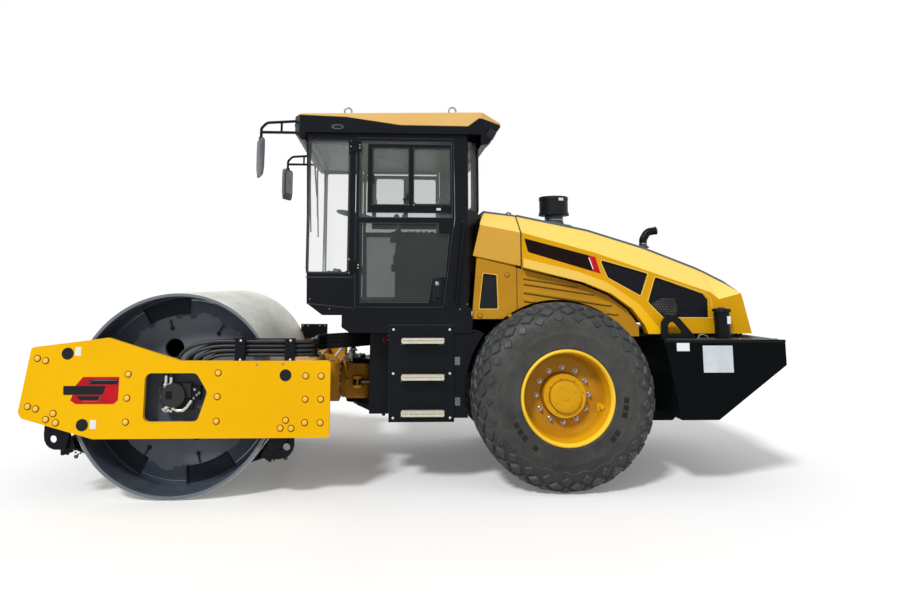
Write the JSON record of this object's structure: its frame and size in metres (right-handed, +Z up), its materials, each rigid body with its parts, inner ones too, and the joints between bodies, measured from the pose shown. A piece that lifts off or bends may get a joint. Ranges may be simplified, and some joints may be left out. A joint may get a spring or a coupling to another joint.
{
  "type": "single-drum road roller",
  "caption": "Articulated road roller with a smooth steel drum in a front frame, two rear tyres, a glazed cab with doors and a lifting hood.",
  "frame": {"origin": "on the ground, below the middle of the machine's box", "axes": "-X is the drum end (front), +Y is the machine's right, +Z is up"},
  "size_m": [5.8908, 2.28, 3.0958],
  "materials": {
    "yellow_paint": "satin",
    "roof_paint": "satin",
    "black_paint": "satin",
    "dark_paint": "satin",
    "drum_steel": "worn",
    "machined_steel": "brushed",
    "chrome": "polished",
    "engine_iron": "rough",
    "tyre": "matte",
    "rubber": "matte",
    "black_plastic": "matte",
    "seat_vinyl": "satin",
    "glass": "clear"
  },
  "bodies": {
    "rear_frame": {"rear_frame": "black_paint", "platform": "black_paint", "step_boxes": "black_paint", "step_panels": "black_paint", "rear_axle": "black_paint", "engine_block": "engine_iron", "counterweight": "black_paint", "lifting_eyes": "black_paint", "filler_neck": "black_paint", "cowl": "yellow_paint", "side_panels": "yellow_paint", "cab_floor": "black_paint", "cab_frame": "black_paint", "cab_glass": "glass", "door_hinges": "black_paint", "roof_base": "black_plastic", "roof_cap": "roof_paint", "lifting_rings": "black_paint", "mirror_arms": "black_paint", "mirrors": "black_plastic", "seat_base": "black_plastic", "seat_cushion": "seat_vinyl", "seat_back": "seat_vinyl", "side_consoles": "black_plastic", "steering_column": "black_plastic", "pivot_pin": "machined_steel", "steer_hoses": "rubber"},
    "hitch": {"hitch": "yellow_paint"},
    "front_frame": {"side_plate_left": "yellow_paint", "side_plate_right": "yellow_paint", "front_crossmember": "yellow_paint", "rear_crossmember": "yellow_paint", "drum_supports": "dark_paint", "drum_isolators": "rubber", "drum_motors": "dark_paint", "tie_down_lugs": "black_paint", "drum_scrapers": "black_paint", "hose_clamps": "black_paint", "plate_hoses": "rubber", "swing_hoses": "rubber"},
    "drum": {"drum_shell": "drum_steel", "drum_disc_left": "drum_steel", "drum_disc_right": "drum_steel"},
    "wheel_left": {"tyre_left": "tyre", "rim_left": "yellow_paint"},
    "wheel_right": {"tyre_right": "tyre", "rim_right": "yellow_paint"},
    "door_left": {"door_left": "black_paint", "door_glass_left": "glass"},
    "door_right": {"door_right": "black_paint", "door_glass_right": "glass"},
    "hood": {"hood": "yellow_paint", "hood_grilles": "black_plastic", "air_precleaner": "black_plastic", "tail_pipe": "black_paint"},
    "steering_barrel_left": {"steering_barrel_left": "black_paint"},
    "steering_rod_left": {"steering_rod_left": "chrome"},
    "steering_barrel_right": {"steering_barrel_right": "black_paint"},
    "steering_rod_right": {"steering_rod_right": "chrome"},
    "steering_wheel": {"steering_wheel": "black_plastic"}
  },
  "joints": [
    {"name": "steer", "type": "hinge", "parent": "rear_frame", "child": "hitch", "pos_m": [-0.49, 0, 0.74], "axis": [0, 0, 1], "range_deg": [-33, 33], "deforming": ["steer_hoses"]},
    {"name": "oscillation", "type": "hinge", "parent": "hitch", "child": "front_frame", "pos_m": [-0.64, 0, 0.74], "axis": [1, 0, 0], "range_deg": [-10, 10], "deforming": ["swing_hoses"]},
    {"name": "drum_spin", "type": "hinge", "parent": "front_frame", "child": "drum", "pos_m": [-1.837, 0, 0.764], "axis": [0, 1, 0], "continuous": true},
    {"name": "wheel_left_spin", "type": "hinge", "parent": "rear_frame", "child": "wheel_left", "pos_m": [1.174, -0.815, 0.73], "axis": [0, 1, 0], "continuous": true},
    {"name": "wheel_right_spin", "type": "hinge", "parent": "rear_frame", "child": "wheel_right", "pos_m": [1.174, 0.815, 0.73], "axis": [0, 1, 0], "continuous": true},
    {"name": "door_left_hinge", "type": "hinge", "parent": "rear_frame", "child": "door_left", "pos_m": [-0.508, -0.862, 2.1], "axis": [0, 0, 1], "range_deg": [-95, 0]},
    {"name": "door_right_hinge", "type": "hinge", "parent": "rear_frame", "child": "door_right", "pos_m": [-0.508, 0.862, 2.1], "axis": [0, 0, 1], "range_deg": [0, 95]},
    {"name": "hood_hinge", "type": "hinge", "parent": "rear_frame", "child": "hood", "pos_m": [2.893, 0, 1.187], "axis": [0, 1, 0], "range_deg": [0, 50]},
    {"name": "cylinder_left_swing", "type": "hinge", "parent": "rear_frame", "child": "steering_barrel_left", "pos_m": [0.07, -0.206, 0.74], "axis": [0, 0, 1], "range_deg": [-2, 2]},
    {"name": "cylinder_right_swing", "type": "hinge", "parent": "rear_frame", "child": "steering_barrel_right", "pos_m": [0.07, 0.206, 0.74], "axis": [0, 0, 1], "range_deg": [-2, 2]},
    {"name": "cylinder_left_stroke", "type": "slide", "parent": "steering_barrel_left", "child": "steering_rod_left", "axis": [1, 0, 0], "range_m": [-0.12, 0.12]},
    {"name": "cylinder_right_stroke", "type": "slide", "parent": "steering_barrel_right", "child": "steering_rod_right", "axis": [1, 0, 0], "range_m": [-0.12, 0.12]},
    {"name": "steering_wheel_turn", "type": "hinge", "parent": "rear_frame", "child": "steering_wheel", "pos_m": [-0.53, 0, 2.245], "axis": [0.2079, 0, 0.9781], "continuous": true}
  ],
  "couplings": [
    {"joint": "cylinder_left_swing", "follows": "steer", "ratio": -0.0215},
    {"joint": "cylinder_right_swing", "follows": "steer", "ratio": 0.0215},
    {"joint": "cylinder_left_stroke", "follows": "steer", "m_per_rad": 0.1945},
    {"joint": "cylinder_right_stroke", "follows": "steer", "m_per_rad": -0.1945}
  ]
}
